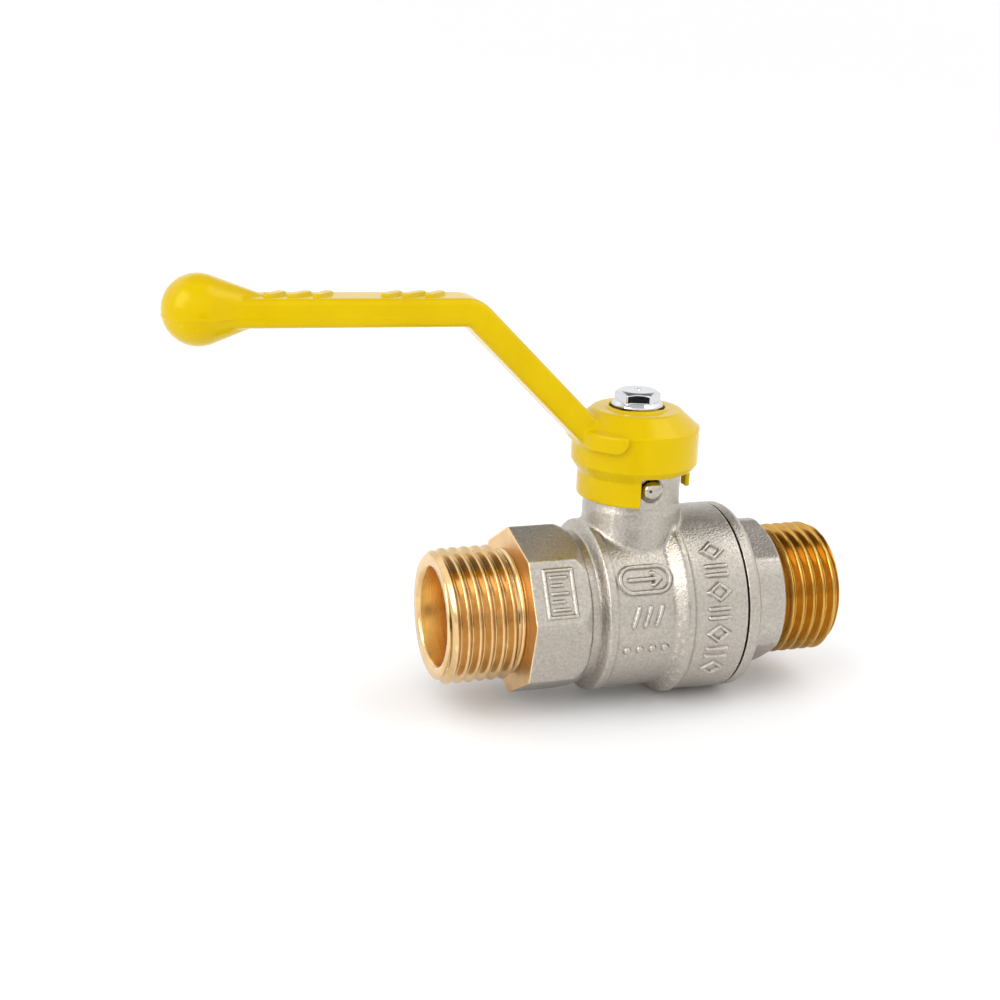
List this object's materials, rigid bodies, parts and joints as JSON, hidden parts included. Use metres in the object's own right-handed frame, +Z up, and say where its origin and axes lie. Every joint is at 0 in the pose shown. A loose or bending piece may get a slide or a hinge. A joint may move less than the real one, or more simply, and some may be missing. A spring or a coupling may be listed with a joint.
{
  "type": "gas valve",
  "caption": "Quarter-turn ball valve for gas pipes with male threads at both ends, a wrench octagon and hexagon, and a cranked yellow lever.",
  "frame": {"origin": "centre of the ball, where the pipe axis meets the stem axis", "axes": "+X along the pipe towards the screwed-in end connector, +Z up the stem towards the lever screw, the lever points along -X when open"},
  "size_m": [0.1057, 0.0296, 0.0686],
  "materials": {
    "nickel_plated_body": "satin nickel plate over a cast body, threads left bare",
    "nickel_plated_connector": "satin nickel plate, thread left bare",
    "chromed_ball": "polished",
    "ptfe": "matte",
    "stem_brass": "turned",
    "nitrile_rubber": "matte",
    "yellow_paint": "gloss",
    "zinc_plated_steel": "bright zinc plate"
  },
  "bodies": {
    "body": {"valve_body": "nickel_plated_body", "end_connector": "nickel_plated_connector", "seat_ring_inlet": "ptfe", "seat_ring_outlet": "ptfe", "stem_thrust_washer": "ptfe"},
    "handle": {"lever": "yellow_paint", "lever_screw": "zinc_plated_steel", "stem": "stem_brass", "stem_o_ring_lower": "nitrile_rubber", "stem_o_ring_upper": "nitrile_rubber"},
    "closure": {"ball": "chromed_ball"}
  },
  "joints": [
    {"name": "lever_turn", "type": "hinge", "parent": "body", "child": "handle", "pos_m": [0, 0, 0.03], "axis": [0, 0, -1], "range_deg": [0, 90]},
    {"name": "ball_turn", "type": "hinge", "parent": "body", "child": "closure", "pos_m": [0, 0, 0], "axis": [0, 0, -1], "range_deg": [0, 90]}
  ],
  "couplings": [
    {"joint": "ball_turn", "follows": "lever_turn", "ratio": 1}
  ]
}
